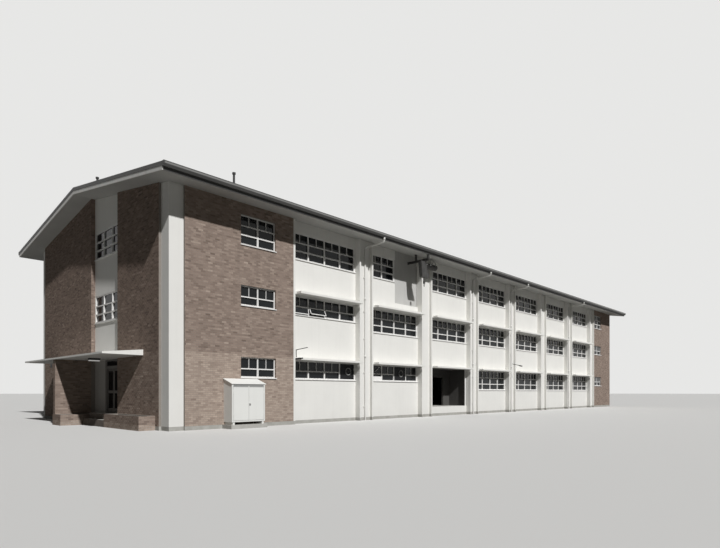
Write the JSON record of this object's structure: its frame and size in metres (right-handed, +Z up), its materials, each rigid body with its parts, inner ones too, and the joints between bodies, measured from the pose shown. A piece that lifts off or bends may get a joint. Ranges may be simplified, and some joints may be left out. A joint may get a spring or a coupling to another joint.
{
  "type": "half-size (1:2) model of a three-storey school building",
  "caption": "Long gabled brick and panel school block with pilaster bays, window rows, hoods, a canopied end entrance and a recessed doorway, at half size.",
  "frame": {"origin": "centre of the footprint's box, on the plane that the walls stand on", "axes": "+X along the front away from the entrance end, +Y from the front to the back, +Z up"},
  "size_m": [28.702, 9.824, 6.4907],
  "materials": {
    "brick": "matte face brick with flush mortar joints",
    "white_paint": "matte masonry paint",
    "concrete": "smooth concrete",
    "window_paint": "satin paint",
    "glass": "clear window glass",
    "roof_sheet": "weathered corrugated sheet",
    "lining": "matte paint on flat sheet",
    "gutter_paint": "satin paint",
    "fascia_paint": "satin paint",
    "barge_paint": "satin paint on boards",
    "hoist_paint": "worn paint on steel",
    "pipe_paint": "satin paint",
    "door_paint": "satin paint on timber",
    "cabinet_paint": "satin paint",
    "loading_paint": "dull weathered paint"
  },
  "bodies": {
    "building": {"ground_floor_slab": "concrete", "first_floor_slab": "concrete", "second_floor_slab": "concrete", "entrance_landing": "concrete", "cabinet_pad": "concrete", "near_front_brick_wall": "brick", "far_front_brick_wall": "brick", "back_brick_walls": "brick", "near_end_right_brick_wall": "brick", "near_end_left_brick_wall": "brick", "far_end_brick_walls": "brick", "wing_wall": "brick", "planter_walls": "brick", "corner_piers": "white_paint", "stair_strip_wall": "white_paint", "far_strip_wall": "white_paint", "front_pilasters": "white_paint", "back_pilasters": "white_paint", "edge_fins": "white_paint", "front_ground_panels": "white_paint", "front_first_panels": "white_paint", "front_second_panels": "white_paint", "front_eaves_panels": "white_paint", "back_panels": "white_paint", "hoods": "white_paint", "entrance_canopy": "white_paint", "entrance_side_panel": "white_paint", "porch_lining": "white_paint", "porch_back_wall": "white_paint", "loading_panel": "loading_paint", "front_ground_windows": "window_paint", "front_first_windows": "window_paint", "front_second_windows": "window_paint", "back_windows": "window_paint", "brick_windows": "window_paint", "strip_windows": "window_paint", "bay_glass": "glass", "brick_and_strip_glass": "glass", "front_roof_sheet": "roof_sheet", "back_roof_sheet": "roof_sheet", "ridge_cap": "roof_sheet", "roof_vents": "roof_sheet", "front_roof_lining": "lining", "back_roof_lining": "lining", "gutters": "gutter_paint", "fascias": "fascia_paint", "barge_cappings": "fascia_paint", "barge_boards": "barge_paint", "hoist_beam": "hoist_paint", "hoist_block": "hoist_paint", "downpipes": "pipe_paint", "entrance_frame": "door_paint", "meter_cabinet": "cabinet_paint", "meter_cabinet_lid": "cabinet_paint"},
    "entrance_door_left": {"entrance_door_left": "door_paint", "door_glass_left": "glass"},
    "entrance_door_right": {"entrance_door_right": "door_paint", "door_glass_right": "glass"},
    "cabinet_door_left": {"cabinet_door_left": "cabinet_paint"},
    "cabinet_door_right": {"cabinet_door_right": "cabinet_paint"}
  },
  "joints": [
    {"name": "entrance_left_hinge", "type": "hinge", "parent": "building", "child": "entrance_door_left", "pos_m": [-13.2967, -0.772, 0.322], "axis": [0, 0, 1], "range_deg": [0, 90]},
    {"name": "entrance_right_hinge", "type": "hinge", "parent": "building", "child": "entrance_door_right", "pos_m": [-13.2967, -1.554, 0.322], "axis": [0, 0, -1], "range_deg": [0, 90]},
    {"name": "cabinet_left_hinge", "type": "hinge", "parent": "building", "child": "cabinet_door_left", "pos_m": [-12.04, -4.5233, 0.182], "axis": [0, 0, -1], "range_deg": [0, 110]},
    {"name": "cabinet_right_hinge", "type": "hinge", "parent": "building", "child": "cabinet_door_right", "pos_m": [-11.186, -4.5233, 0.182], "axis": [0, 0, 1], "range_deg": [0, 110]}
  ]
}
